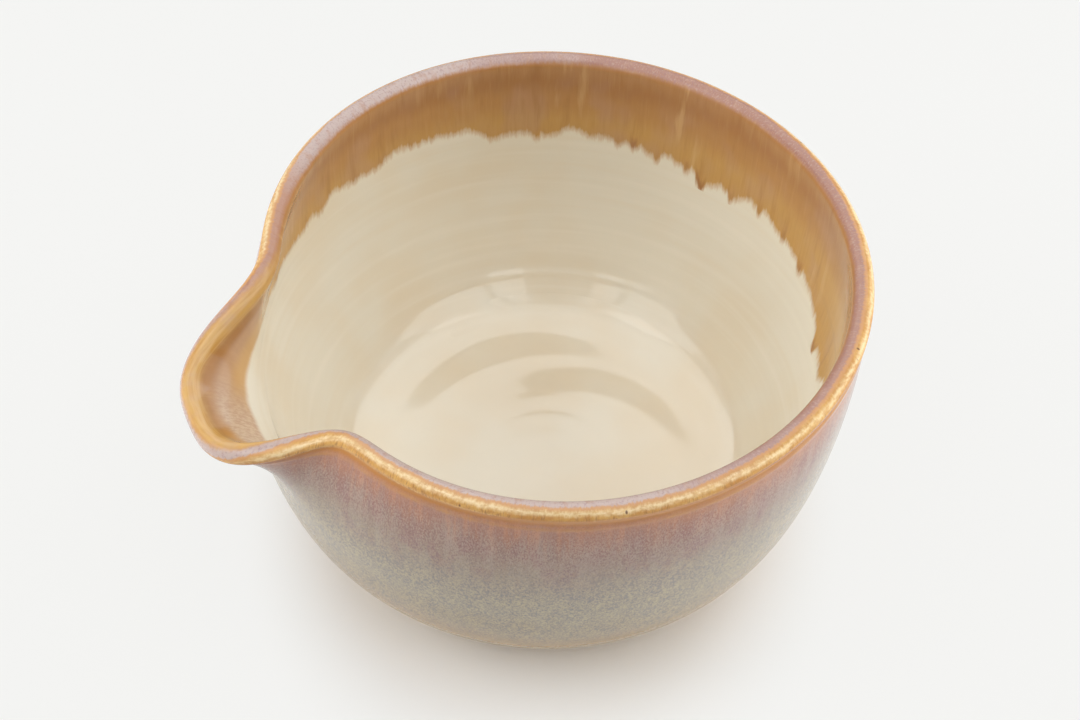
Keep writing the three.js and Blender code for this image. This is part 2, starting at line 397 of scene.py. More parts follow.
@dataclass(frozen=True)
class GlazeForm:
    """How thick the fired glaze lies, and where one glaze gives way to the next.

    The band's depths belong to its angles from the spout. Each drip has an angle, a length and half a width
    in degrees.
    """

    pot: PotForm = field(default_factory=PotForm)
    bare_foot: float = 9.0
    collar_depth: float = 9.0
    margin: float = 4.5
    thickness: float = 0.75
    lip_extra: float = 0.25
    lip_spread: float = 7.0
    bead_lift: float = 0.55
    bead_place: float = 2.5
    bead_width: float = 1.5
    groove_depth: float = 0.12
    groove_place: float = 2.9
    groove_width: float = 1.0
    line_lift: float = 0.12
    line_place: float = 7.4
    line_width: float = 0.9
    floor_ridge: float = 0.035
    floor_pitch: float = 7.5
    mark_depth: float = 0.48
    mark_width: float = 12.0
    mark_return: float = 20.0
    mark_rise: float = 50.0
    mark_fade: float = 40.0
    finger_marks: tuple[FingerMark, ...] = (
        FingerMark(47.0, -80.0, 0.035, -15.0, -160.0),
        FingerMark(30.0, -96.0, 0.157, -84.0, -225.0),
    )
    ring_lift: float = 0.02
    rings: tuple[ThrowingRing, ...] = (
        ThrowingRing(1.0, 5.3, 1.0, 0.0, 0.0),
        ThrowingRing(0.8, 8.9, -1.0, 1.3, 1.0),
        ThrowingRing(0.7, 3.4, 2.0, 0.4, 0.0),
    )
    fine_teeth: float = 0.55
    broad_teeth: float = 0.75
    teeth_rise: float = 0.4
    spout_teeth: float = 0.15
    spout_edge: tuple[float, float] = (20.0, 40.0)
    band_waves: float = 38.0
    band_angles: tuple[float, ...] = (
        -180, -168, -158, -150, -138, -120, -102, -92, -84, -72, -60, -45,
        -36, -20, 0, 20, 60, 100, 135, 147, 160, 168, 175,
    )
    band_depths: tuple[float, ...] = (
        37, 31, 32, 34, 31, 28.5, 30, 25, 24, 27, 26.5, 29,
        31, 27.5, 28, 28, 29, 30, 40, 48, 48, 45, 38,
    )
    drips: tuple[tuple[float, float, float], ...] = (
        (-147, 4.2, 1.4), (-143.5, 2.6, 1.0), (-131, 3.2, 1.1), (-127.5, 2.0, 0.9),
        (-178.5, 3.0, 1.3), (-171, 2.4, 1.0), (166, 3.4, 1.2), (-110, 1.8, 0.9),
        (-155, 2.2, 1.0), (-163, 2.4, 0.9), (-136.5, 2.0, 0.8), (151, 2.6, 1.1),
    )

    def band(self, angle: np.ndarray) -> np.ndarray:
        """Depth of the amber band below the lip.

        Straight lines between stated depths, smoothed round the pot by damping their short waves.

        Args:
            angle: angles from the middle of the spout, in radians.

        Returns:
            Depths in millimetres.
        """
        turns = np.linspace(-180, 180, 721)[:-1]
        depth = np.interp(turns, self.band_angles, self.band_depths, period=360)
        waves = np.fft.rfft(depth)
        waves *= np.exp(-((np.arange(len(waves)) / self.band_waves) ** 2))
        smooth = np.fft.irfft(waves, len(turns))
        return np.interp(np.degrees(angle), turns, smooth, period=360)

    def off_spout(self, angle: np.ndarray) -> np.ndarray:
        """0 in the spout and 1 away from it, by a smooth step of the angle."""
        return ease(np.abs(np.degrees(angle)), *self.spout_edge)

    def ragged(self, angle: np.ndarray) -> np.ndarray:
        """Depth of the amber edge with its teeth: the band, plus random teeth and single drips.

        The teeth are a fine random line folded up at zero and a broad one, and they nearly fade out in the
        spout, where the edge is soft.

        Args:
            angle: angles from the middle of the spout, in radians.

        Returns:
            Depths in millimetres.
        """
        rough = self.spout_teeth + (1 - self.spout_teeth) * self.off_spout(angle)
        teeth = self.fine_teeth * np.abs(waver(angle, 5, 60, 150))
        teeth = teeth + self.broad_teeth * waver(angle, 8, 16, 56)
        return self.band(angle) + rough * (teeth - self.teeth_rise) + self.dripped(angle)

    def dripped(self, angle: np.ndarray) -> np.ndarray:
        """Length of the single drips below the band: a finger with a round end, half an ellipse, for each.

        Args:
            angle: angles from the middle of the spout, in radians.

        Returns:
            Lengths in millimetres.
        """
        turn = np.degrees(angle)
        return sum(
            length * np.sqrt(np.clip(1 - ((turn - where) / width) ** 2, 0, 1))
            for where, length, width in self.drips
        )

    def junction(self, angle: np.ndarray) -> np.ndarray:
        """Place on the section where the rim coat meets the liner: a margin below the amber band."""
        return self.pot.along_inside(self.pot.bowl_height - self.band(angle) - self.margin)

    @property
    def collar(self) -> float:
        """Place on the section where the rim coat meets the outer coat."""
        return float(self.pot.along_outside(np.float64(self.pot.bowl_height - self.collar_depth)))

    @property
    def foot_line(self) -> float:
        """Place on the section where the outer coat ends."""
        return float(self.pot.along_outside(np.float64(self.bare_foot)))

    def lift(self, along: np.ndarray, angle: np.ndarray) -> np.ndarray:
        """Height of the fired glaze above the clay.

        An even coat that is thicker on the lip, with bells across it for the bead outside, the groove under
        it and the thin line below; sines for the throwing rings, which climb as helices and are strongest
        inside, away from the spout; a spiral ridge on the floor, less the long finger marks.

        Args:
            along: lengths on the section from the lip's crest.
            angle: angles from the middle of the spout, in radians.

        Returns:
            Heights in millimetres.
        """
        radius = np.interp(along, self.pot.section.along, self.pot.section.radius)
        coat = self.thickness + self.lip_extra * bell(along, 0, self.lip_spread)
        wander = 0.35 * waver(angle, 21, 2, 9)
        coat = coat + self.bead_lift * bell(along, self.bead_place, self.bead_width)
        coat = coat - self.groove_depth * bell(along, self.bead_place + self.groove_place, self.groove_width)
        coat = coat + self.line_lift * bell(along + 0.4 * wander, self.line_place, self.line_width)
        helix = angle / (2 * math.pi)
        rings = 0.0
        for wave in self.rings:
            turns = along / wave.pitch + wave.climb * helix
            rings = rings + wave.weight * np.sin(2 * math.pi * turns + wave.start + wave.wander * wander)
        inside = ease(-along, 20, 40) * ease(radius, 50, 70)
        outside = ease(along, 14, 24) * ease(-along, -92, -80)
        calm = ease(np.abs(np.degrees(angle)), 20, 60)
        coat = coat + self.ring_lift * rings * (inside * calm + 0.15 * outside)
        floor = (along < 0) * ease(radius, 2, 8) * ease(-radius, -34, -18)
        spiral = np.sin(2 * math.pi * (radius / self.floor_pitch + helix) + 0.8)
        return coat + self.floor_ridge * floor * spiral - (along < 0) * self.marked(radius, angle)

    def marked(self, radius: np.ndarray, angle: np.ndarray) -> np.ndarray:
        """Depth of the long finger marks on the floor.

        Each falls by a smooth step across its line, comes back over a longer way, and fades at its ends. The
        first line goes round the far side, and the second winds outwards on past the side opposite the
        spout.

        Args:
            radius: distances from the axis.
            angle: angles from the middle of the spout, in radians.

        Returns:
            Depths in millimetres.
        """
        half = self.mark_width / 2
        turn = np.degrees(angle)
        back = np.where(turn > 0, turn - 360, turn)
        depth = 0.0
        for mark in self.finger_marks:
            away = radius - (mark.radius + mark.drift * (mark.at - back))
            begun = ease(-back, -mark.start, -mark.start + self.mark_rise)
            ends = begun * ease(back, mark.stop, mark.stop + self.mark_fade)
            fall = ease(away, -half, half) - ease(away, half, half + self.mark_return)
            depth = depth + self.mark_depth * ends * fall
        return depth


# Meshes


class Ends(Enum):
    """How the first and the last row of a skin close."""

    JOINED = "the last row joins the first, as round a tyre"
    POLES = "each end closes on a point on the axis"


def skin(name: str, points: np.ndarray, ends: Ends, marks: dict[str, np.ndarray]) -> Object:
    """A closed mesh from a grid of points that goes once round the pot, with one face for each cell.

    Args:
        name: name of the piece.
        points: rows by columns by three, in metres; the columns go round the pot and join up.
        ends: how the rows close.
        marks: for each attribute's name, a value or a vector for each point of a skin that joins up.

    Returns:
        The new object, at the origin, smooth but for its sharp edges.
    """
    rows, columns = points.shape[:2]
    index = np.arange(rows * columns).reshape(rows, columns)
    after = np.roll(index, -1, axis=1)
    down = np.roll(index, -1, axis=0)
    down_after = np.roll(down, -1, axis=1)
    cells = np.stack([index, down, down_after, after], axis=-1)
    flat = points.reshape(-1, 3)
    if ends is Ends.JOINED:
        loops = cells.reshape(-1)
        starts = np.arange(rows * columns) * 4
    else:
        first, last = len(flat), len(flat) + 1
        flat = np.concatenate([flat, points[:1].mean(axis=1), points[-1:].mean(axis=1)])
        fan_in = np.stack([np.full(columns, first), index[0], after[0]], axis=-1)
        fan_out = np.stack([index[-1], np.full(columns, last), after[-1]], axis=-1)
        quads = cells[:-1].reshape(-1)
        loops = np.concatenate([quads, fan_in.ravel(), fan_out.ravel()])
        starts = np.concatenate([np.arange(len(quads) // 4) * 4, len(quads) + np.arange(2 * columns) * 3])
    mesh: Mesh = bpy.data.meshes.new(name)
    mesh.vertices.add(len(flat))
    mesh.vertices.foreach_set("co", flat.astype(np.float32).ravel())
    mesh.loops.add(len(loops))
    mesh.loops.foreach_set("vertex_index", loops.astype(np.int32))
    mesh.polygons.add(len(starts))
    mesh.polygons.foreach_set("loop_start", starts.astype(np.int32))
    mesh.update(calc_edges=True)
    mesh.validate()
    for key, grid in marks.items():
        values = grid.reshape(len(flat), -1).astype(np.float32)
        kind, socket = ("FLOAT_VECTOR", "vector") if values.shape[1] == 3 else ("FLOAT", "value")
        mesh.attributes.new(key, kind, "POINT").data.foreach_set(socket, values.ravel())
    mesh.shade_smooth()
    mesh.set_sharp_from_angle(angle=SHARP_ANGLE)
    piece = bpy.data.objects.new(name, mesh)
    bpy.context.scene.collection.objects.link(piece)
    return piece


def ring(columns: int) -> np.ndarray:
    """Angles of the columns round the pot, as one row."""
    return np.linspace(-math.pi, math.pi, columns, endpoint=False)[None, :]


def flow(along: np.ndarray, angle: np.ndarray) -> np.ndarray:
    """A vector that follows the running glaze: two parts go round a circle, the third down the wall."""
    return np.stack([FLOW_RADIUS * np.cos(angle), FLOW_RADIUS * np.sin(angle), along], axis=-1)


# Finishes


def paint(red: float, green: float, blue: float) -> Colour:
    """A colour from its 8-bit screen values, as the linear values that the nodes take.

    Args:
        red: red from 0 to 255.
        green: green from 0 to 255.
        blue: blue from 0 to 255.

    Returns:
        The linear colour.
    """
    screen = np.array([red, green, blue]) / 255
    linear = np.where(screen <= 0.04045, screen / 12.92, ((screen + 0.055) / 1.055) ** 2.4)
    return tuple(float(part) for part in linear)


class Bench:
    """A workbench that lays out the nodes of one finish."""

    def __init__(self, name: str) -> None:
        """Starts an empty material with a shader and an output.

        Args:
            name: the material's name.
        """
        self.material: Material = bpy.data.materials.new(name)
        self.material.use_nodes = True
        self.tree = self.material.node_tree
        self.tree.nodes.clear()
        self.shader = self.tree.nodes.new("ShaderNodeBsdfPrincipled")
        output = self.tree.nodes.new("ShaderNodeOutputMaterial")
        self.tree.links.new(self.shader.outputs["BSDF"], output.inputs["Surface"])

    def put(self, socket: NodeSocket, value: Value | Colour) -> None:
        """Links a socket into another, or writes a plain value on it.

        Args:
            socket: the socket that takes the value.
            value: a number, a colour or the socket that gives it.
        """
        if isinstance(value, NodeSocket):
            self.tree.links.new(value, socket)
        elif isinstance(value, tuple) and socket.type == "RGBA":
            socket.default_value = (*value, 1.0)
        else:
            socket.default_value = value

    def node(self, kind: str) -> Node:
        """A new node of a kind."""
        return self.tree.nodes.new(kind)

    def mark(self, name: str, vector: bool = False) -> NodeSocket:
        """The piece's own attribute.

        Args:
            name: the attribute's name.
            vector: whether it is a vector or a number.

        Returns:
            The value.
        """
        node = self.node("ShaderNodeAttribute")
        node.attribute_name = name
        return node.outputs["Vector" if vector else "Fac"]

    def place(self) -> NodeSocket:
        """The point on the object in millimetres.

        Returns:
            The vector.
        """
        node = self.node("ShaderNodeVectorMath")
        node.operation = "SCALE"
        self.put(node.inputs[0], self.node("ShaderNodeTexCoord").outputs["Object"])
        node.inputs["Scale"].default_value = 1 / MM
        return node.outputs[0]

    def stretch(self, vector: NodeSocket, by: Point) -> NodeSocket:
        """A vector with each part multiplied.

        Args:
            vector: the vector.
            by: one factor for each part.

        Returns:
            The stretched vector.
        """
        node = self.node("ShaderNodeVectorMath")
        node.operation = "MULTIPLY"
        self.put(node.inputs[0], vector)
        node.inputs[1].default_value = by
        return node.outputs[0]

    def length(self, vector: NodeSocket) -> NodeSocket:
        """Length of a vector.

        Args:
            vector: the vector.

        Returns:
            The length.
        """
        node = self.node("ShaderNodeVectorMath")
        node.operation = "LENGTH"
        self.put(node.inputs[0], vector)
        return node.outputs["Value"]

    def part(self, vector: NodeSocket, axis: int) -> NodeSocket:
        """One part of a vector.

        Args:
            vector: the vector.
            axis: 0, 1 or 2 for its first, second or third part.

        Returns:
            The part.
        """
        node = self.node("ShaderNodeSeparateXYZ")
        self.put(node.inputs[0], vector)
        return node.outputs[axis]

    def noise(
        self, vector: NodeSocket, size: float, detail: float = 2.0, rough: float = 0.5, twist: float = 0.0
    ) -> NodeSocket:
        """Soft random values from 0 to 1.

        Args:
            vector: the place, in millimetres.
            size: size of one blotch, in millimetres.
            detail: how many finer layers are added.
            rough: how strong the finer layers are.
            twist: how far the blotches are bent.

        Returns:
            The value.
        """
        node = self.node("ShaderNodeTexNoise")
        self.put(node.inputs["Vector"], vector)
        node.inputs["Scale"].default_value = 1 / size
        node.inputs["Detail"].default_value = detail
        node.inputs["Roughness"].default_value = rough
        node.inputs["Distortion"].default_value = twist
        return node.outputs[0]

    def streaks(
        self, run: NodeSocket, pull: float, size: float,
        detail: float = 2.0, rough: float = 0.5, twist: float = 0.0,
    ) -> NodeSocket:
        """Noise on the vector of the running glaze, drawn out down the wall where pull is under one."""
        return self.noise(self.stretch(run, (1.0, 1.0, pull)), size, detail, rough, twist)

    def pits(self, vector: NodeSocket, size: float) -> NodeSocket:
        """Distance to the nearest of many scattered points.

        Args:
            vector: the place, in millimetres.
            size: size of the cell that holds one point, in millimetres.

        Returns:
            The distance, in cells.
        """
        node = self.node("ShaderNodeTexVoronoi")
        self.put(node.inputs["Vector"], vector)
        node.inputs["Scale"].default_value = 1 / size
        return node.outputs["Distance"]

    def sum(self, first: Value, second: Value, factor: Value = 1.0) -> NodeSocket:
        """first times factor, plus second.

        Args:
            first: the value that is scaled.
            second: the value that is added.
            factor: the scale.

        Returns:
            The sum.
        """
        node = self.node("ShaderNodeMath")
        node.operation = "MULTIPLY_ADD"
        for socket, value in zip(node.inputs, (first, factor, second)):
            self.put(socket, value)
        return node.outputs[0]

    def times(self, first: Value, second: Value) -> NodeSocket:
        """first times second.

        Args:
            first: a value.
            second: a value.

        Returns:
            The product.
        """
        node = self.node("ShaderNodeMath")
        node.operation = "MULTIPLY"
        self.put(node.inputs[0], first)
        self.put(node.inputs[1], second)
        return node.outputs[0]

    def span(
        self, value: NodeSocket, low: float, high: float, bottom: float = 0.0, top: float = 1.0
    ) -> NodeSocket:
        """A smooth step of a value from bottom at low to top at high; low may be the larger of the two.

        Args:
            value: the value.
            low: where the step starts.
            high: where the step ends.
            bottom: result at the start.
            top: result at the end.

        Returns:
            The stepped value.
        """
        node = self.node("ShaderNodeMapRange")
        node.interpolation_type = "SMOOTHSTEP"
        self.put(node.inputs["Value"], value)
        if low > high:
            low, high, bottom, top = high, low, top, bottom
        for name, plain in (("From Min", low), ("From Max", high), ("To Min", bottom), ("To Max", top)):
            node.inputs[name].default_value = plain
        return node.outputs["Result"]

    def window(self, value: NodeSocket, low: float, high: float, soft: float) -> NodeSocket:
        """One between low and high, and zero outside, with soft edges."""
        rise = self.span(value, low - soft, low + soft)
        return self.times(rise, self.span(value, high + soft, high - soft))

    def between(self, factor: Value, first: Value, second: Value) -> NodeSocket:
        """A number between first, at factor 0, and second, at factor 1.

        Args:
            factor: how much of the second.
            first: a number.
            second: a number.

        Returns:
            The mixed number.
        """
        node = self.node("ShaderNodeMix")
        for place, value in zip((0, 2, 3), (factor, first, second)):
            self.put(node.inputs[place], value)
        return node.outputs[0]

    def mix(self, factor: Value, first: NodeSocket | Colour, second: NodeSocket | Colour) -> NodeSocket:
        """A colour between first, at factor 0, and second, at factor 1.

        Args:
            factor: how much of the second.
            first: a colour.
            second: a colour.

        Returns:
            The mixed colour.
        """
        node = self.node("ShaderNodeMix")
        node.data_type = "RGBA"
        for place, value in zip((0, 6, 7), (factor, first, second)):
            self.put(node.inputs[place], value)
        return node.outputs[2]

    def ramp(self, value: NodeSocket, stops: Stops) -> NodeSocket:
        """A colour that goes through the stops as the value goes from the first place to the last.

        Args:
            value: the value.
            stops: places and colours, in order.

        Returns:
            The colour.
        """
        first, last = stops[0][0], stops[-1][0]
        scale = self.node("ShaderNodeMapRange")
        self.put(scale.inputs["Value"], value)
        scale.inputs["From Min"].default_value = first
        scale.inputs["From Max"].default_value = last
        node = self.node("ShaderNodeValToRGB")
        bar = node.color_ramp
        bar.interpolation = "EASE"
        while len(bar.elements) < len(stops):
            bar.elements.new(1.0)
        for element, (place, colour) in zip(bar.elements, stops):
            element.position = (place - first) / (last - first)
            element.color = (*colour, 1.0)
        self.put(node.inputs[0], scale.outputs["Result"])
        return node.outputs[0]

    def bump(self, height: NodeSocket, depth: float) -> None:
        """Fine relief on the shader's normal.

        Args:
            height: the relief, from 0 to 1.
            depth: its depth in millimetres.
        """
        node = self.node("ShaderNodeBump")
        node.inputs["Strength"].default_value = 1.0
        node.inputs["Distance"].default_value = depth * MM
        self.put(node.inputs["Height"], height)
        self.put(self.shader.inputs["Normal"], node.outputs[0])

    def gloss(self, colour: NodeSocket, rough: Value) -> Material:
        """Puts the colour, the roughness and the refraction on the shader.

        Args:
            colour: the colour.
            rough: the roughness.

        Returns:
            The finished material.
        """
        self.put(self.shader.inputs["Base Color"], colour)
        self.put(self.shader.inputs["Roughness"], rough)
        self.shader.inputs["IOR"].default_value = REFRACTION
        return self.material


@dataclass(frozen=True)
class CreamGlaze:
    """Glossy cream liner glaze, with faint throwing rings and slow warm drifts."""

    body: Colour = paint(235, 230, 213)
    warm: Colour = paint(233, 223, 200)
    pale: Colour = paint(242, 236, 220)
    rough: float = 0.07

    def colour(self, bench: Bench) -> NodeSocket:
        """Colour of the cream glaze: slow warm drifts, and pale and warm rings by height.

        Args:
            bench: where the nodes go.

        Returns:
            The colour.
        """
        place = bench.place()
        drift = bench.noise(place, 34, 2)
        rings = bench.noise(bench.stretch(place, (0.04, 0.04, 1.0)), 2.6, 2)
        tone = bench.mix(bench.span(drift, 0.35, 0.7), self.body, self.warm)
        tone = bench.mix(bench.span(rings, 0.45, 0.8, 0.0, 0.45), tone, self.pale)
        return bench.mix(bench.span(rings, 0.5, 0.2, 0.0, 0.4), tone, self.warm)

    def material(self) -> Material:
        """The finish of the liner, with a slight waviness.

        Returns:
            The material.
        """
        bench = Bench(Slot.CREAM.value)
        colour = self.colour(bench)
        bench.bump(bench.noise(bench.place(), 3.5, 1), 0.012)
        return bench.gloss(colour, self.rough)


@dataclass(frozen=True)
class MottledGlaze:
    """Outer glaze: terracotta under the rim, mauve below, then grey green flecks, and tan by the foot.

    The stops are places on the wall, in millimetres from the lip's crest, and each reach is how far a noise
    moves them. The tan by the foot is partly thin glaze and partly a painted reflection of the shaded table.
    """

    stops: Stops = (
        (4.0, paint(190, 132, 90)),
        (9.0, paint(182, 124, 92)),
        (14.0, paint(170, 122, 102)),
        (24.0, paint(156, 132, 118)),
        (36.0, paint(160, 146, 126)),
        (54.0, paint(170, 156, 126)),
        # From here down the tan is partly the glaze thinning at the foot and partly a painted reflection of
        # the shaded table.
        (68.0, paint(160, 138, 96)),
        (77.0, paint(168, 136, 88)),
        (86.0, paint(176, 142, 92)),
        (93.0, paint(180, 146, 96)),
    )
    blue: Colour = paint(120, 121, 132)
    sand: Colour = paint(190, 176, 148)
    mauve: Colour = paint(148, 106, 104)
    rose: Colour = paint(136, 100, 92)
    rust: Colour = paint(194, 132, 96)
    ash: Colour = paint(188, 166, 152)
    dark: Colour = paint(108, 94, 92)
    rough: float = 0.13
    streak_reach: float = 6.0
    wander_reach: float = 12.0
    column_reach: float = 10.0
    spout_side: tuple[float, float] = (-70.0, 20.0)
    spout_shift: float = 5.5
    mauve_zone: tuple[float, float] = (14.0, 34.0)

    def colour(self, bench: Bench) -> NodeSocket:
        """Colour of the outer glaze.

        A ramp down the wall whose place is moved by noise that is drawn out down the wall in streaks and
        columns, and comes sooner on the spout's side. On it lie rusty runs and mauve patches under the rim,
        rose and ash threads, further down blue and sand flecks under a millimetre wide, and a dark grain.
        Both fade out towards the tan foot.

        Args:
            bench: where the nodes go.

        Returns:
            The colour.
        """
        run, down = bench.mark("flow", True), bench.mark("down")
        wander = bench.streaks(run, 0.35, 16, 3)
        streak = bench.streaks(run, 0.14, 1.8, 3, 0.6)
        thread = bench.streaks(run, 0.45, 0.42, 2, 0.7, 0.3)
        fleck = bench.streaks(run, 0.8, 0.7, 2, 0.7, 0.5)
        clump = bench.streaks(run, 0.6, 3.2, 3, 0.7)
        grain = bench.noise(run, 0.4, 1)
        column = bench.streaks(run, 0.1, 5.0, 2, 0.6)
        place = bench.sum(wander, bench.sum(streak, down, self.streak_reach), self.wander_reach)
        place = bench.sum(column, place, self.column_reach)
        shift = bench.span(bench.part(bench.place(), 0), *self.spout_side, self.spout_shift, 0.0)
        mean = (self.streak_reach + self.wander_reach + self.column_reach) / 2
        tone = bench.ramp(bench.sum(bench.sum(place, shift), -mean), self.stops)
        patch = bench.streaks(run, 0.5, 8.0, 3, 0.6)
        middle = bench.times(bench.window(down, *self.mauve_zone, 7), bench.span(patch, 0.46, 0.62, 0.0, 0.6))
        upper = bench.times(bench.span(down, 7, 18, 0.35, 1.0), bench.span(down, 54, 14, 0.0, 0.5))
        lower = bench.times(bench.span(down, 16, 46), bench.span(down, 83, 66, 0.05, 0.62))
        runs = bench.times(bench.span(down, 26, 8), bench.span(streak, 0.42, 0.66, 0.0, 0.75))
        tone = bench.mix(runs, tone, self.rust)
        tone = bench.mix(middle, tone, self.mauve)
        threads = bench.span(bench.sum(column, thread, 0.5), 0.57, 0.93)
        tone = bench.mix(upper, tone, bench.mix(threads, self.rose, self.ash))
        blots = bench.span(bench.sum(clump, fleck, 0.35), 0.5, 0.86)
        tone = bench.mix(lower, tone, bench.mix(blots, self.sand, self.blue))
        dusk = bench.times(bench.span(grain, 0.4, 0.27, 0.0, 0.45), bench.span(down, 90, 76))
        return bench.mix(dusk, tone, self.dark)

    def material(self) -> Material:
        """The finish of the outside, with fine bumps that also make it rougher and smoother.

        Returns:
            The material.
        """
        bench = Bench(Slot.MOTTLED.value)
        colour = self.colour(bench)
        fine = bench.noise(bench.mark("flow", True), 1.1, 2)
        bench.bump(fine, 0.0015)
        return bench.gloss(colour, bench.span(fine, 0.3, 0.7, self.rough - 0.04, self.rough + 0.05))


@dataclass(frozen=True)
class AmberGlaze:
    """Glossy amber rim glaze, run down the inside in streaks, mauve on the lip and gold on the bead.

    A zone holds where its colour sets in and where it is full, or where it starts and stops, in
    millimetres from the lip's crest.
    """

    cream: CreamGlaze = CreamGlaze()
    outside: MottledGlaze = MottledGlaze()
    band: Stops = (
        (-2.0, paint(190, 144, 92)),
        (3.0, paint(182, 134, 82)),
        (9.0, paint(171, 121, 70)),
        (16.0, paint(186, 138, 80)),
        (26.0, paint(196, 152, 86)),
        (46.0, paint(198, 152, 80)),
    )
    lilac: Colour = paint(184, 148, 130)
    brown: Colour = paint(154, 104, 58)
    straw: Colour = paint(212, 174, 116)
    tip: Colour = paint(146, 90, 62)
    fringe: Colour = paint(214, 190, 158)
    mauve: Colour = paint(168, 126, 114)
    pale: Colour = paint(196, 176, 168)
    plum: Colour = paint(152, 116, 118)
    rust: Colour = paint(176, 112, 66)
    orange: Colour = paint(206, 146, 80)
    gold: Colour = paint(215, 166, 90)
    # Glaze breaking pale on the bead's ridge, also standing in for a painted highlight.
    pale_break_and_highlight: Colour = paint(242, 218, 170)
    amber: Colour = paint(186, 122, 46)
    honey: Colour = paint(214, 170, 100)
    line: Colour = paint(196, 140, 72)
    shell: Colour = paint(218, 194, 164)
    blush: Colour = paint(200, 168, 143)
    pooled: Colour = paint(198, 144, 74)
    pit: Colour = paint(104, 62, 36)
    rough: float = 0.1
    rust_zone: tuple[float, float] = (-3.2, -1.9)
    crest_zone: tuple[float, float] = (-2.4, -1.2)
    orange_zone: tuple[float, float] = (0.3, 0.8)
    bead_zone: tuple[float, float] = (0.7, 1.5)
    break_highlight_zone: tuple[float, float] = (1.4, 2.2)
    dash_zone: tuple[float, float] = (2.4, 4.2)
    amber_zone: tuple[float, float] = (2.7, 3.7)
    outer_zone: tuple[float, float] = (4.7, 7.2)
    line_zone: tuple[float, float] = (6.7, 8.1)

    def inner_band(self, bench: Bench, run: NodeSocket, down: NodeSocket) -> NodeSocket:
        """Colour of the band inside.

        A ramp by depth, browner on the side away from the spout, with lilac clouds and with wide and thin
        runs down the wall, dark and light.

        Args:
            bench: where the nodes go.
            run: the vector that follows the running glaze.
            down: length from the lip's crest, negative inside.

        Returns:
            The colour.
        """
        cloud = bench.streaks(run, 0.7, 15, 2)
        thin = bench.streaks(run, 0.07, 1.0, 2, 0.6)
        wide = bench.streaks(run, 0.12, 3.6, 3, 0.55)
        slow = bench.streaks(run, 0.3, 30, 1)
        depth = bench.sum(down, bench.sum(wide, -4.0, 8.0), -1.0)
        tone = bench.ramp(depth, self.band)
        side = bench.span(bench.part(bench.place(), 0), -20, 80, 0.0, 0.3)
        tone = bench.mix(bench.times(side, bench.span(depth, 26, 12)), tone, self.brown)
        haze = bench.times(bench.span(cloud, 0.44, 0.7, 0.0, 0.26), bench.span(depth, 4, 14, 0.4, 1.0))
        tone = bench.mix(haze, tone, self.lilac)
        tone = bench.mix(bench.span(wide, 0.52, 0.74, 0.0, 0.35), tone, self.brown)
        tone = bench.mix(bench.span(thin, 0.5, 0.74, 0.0, 0.14), tone, self.brown)
        tone = bench.mix(bench.span(thin, 0.47, 0.26, 0.0, 0.12), tone, self.straw)
        light = bench.times(bench.span(wide, 0.44, 0.28, 0.0, 0.5), bench.span(slow, 0.4, 0.6))
        return bench.mix(light, tone, self.straw)

    def channel(self, bench: Bench, run: NodeSocket, down: NodeSocket, tone: NodeSocket) -> NodeSocket:
        """Colour inside the spout.

        Honey on its rolled lip, with lines along the lip and browner inwards. Below that it is pooled
        amber, mostly on the near side, and then blush: pale and pink on the near side, and on the far side
        brown, partly glaze and partly painted shade under the rolled lip, that turns to honey.

        Args:
            bench: where the nodes go.
            run: the vector that follows the running glaze.
            down: length from the lip's crest, negative inside.
            tone: colour of the band.

        Returns:
            The colour.
        """
        blot = bench.streaks(run, 0.5, 5.0, 2)
        dust = bench.streaks(run, 0.3, 0.8, 2, 0.65)
        side = bench.part(bench.place(), 1)
        near, away = bench.span(side, 18, -6), bench.span(side, 0, 18)
        pink = bench.mix(bench.span(dust, 0.36, 0.64), self.blush, self.shell)
        tone = bench.mix(bench.span(down, -6, -14, 0.0, 0.55), tone, self.blush)
        tone = bench.mix(bench.times(near, bench.span(down, -7, -14, 0.0, 0.92)), tone, pink)
        # Painted shade at the foot of the rolled lip on the far side, over the brown of the glaze.
        dark = bench.times(bench.window(down, -13, -8, 3), 0.6)
        tone = bench.mix(bench.times(away, dark), tone, self.brown)
        tone = bench.mix(bench.times(away, bench.span(down, -17, -25, 0.0, 0.5)), tone, self.honey)
        level = bench.sum(blot, down, 4.0)
        pool = bench.times(bench.window(level, -10.0, -5.0, 2.5), bench.span(side, 0, -15, 0.25, 0.9))
        tone = bench.mix(pool, tone, self.pooled)
        lines = bench.noise(bench.stretch(run, (0.08, 0.08, 1.0)), 0.9, 2, 0.6)
        rolled = bench.mix(bench.span(lines, 0.42, 0.64, 0.0, 0.6), self.honey, self.pooled)
        rolled = bench.mix(bench.span(blot, 0.44, 0.74, 0.0, 0.3), rolled, self.blush)
        rolled = bench.mix(bench.span(level, -1.5, -5.5, 0.0, 0.5), rolled, self.brown)
        return bench.mix(bench.span(level, -6.6, -2.6), tone, rolled)

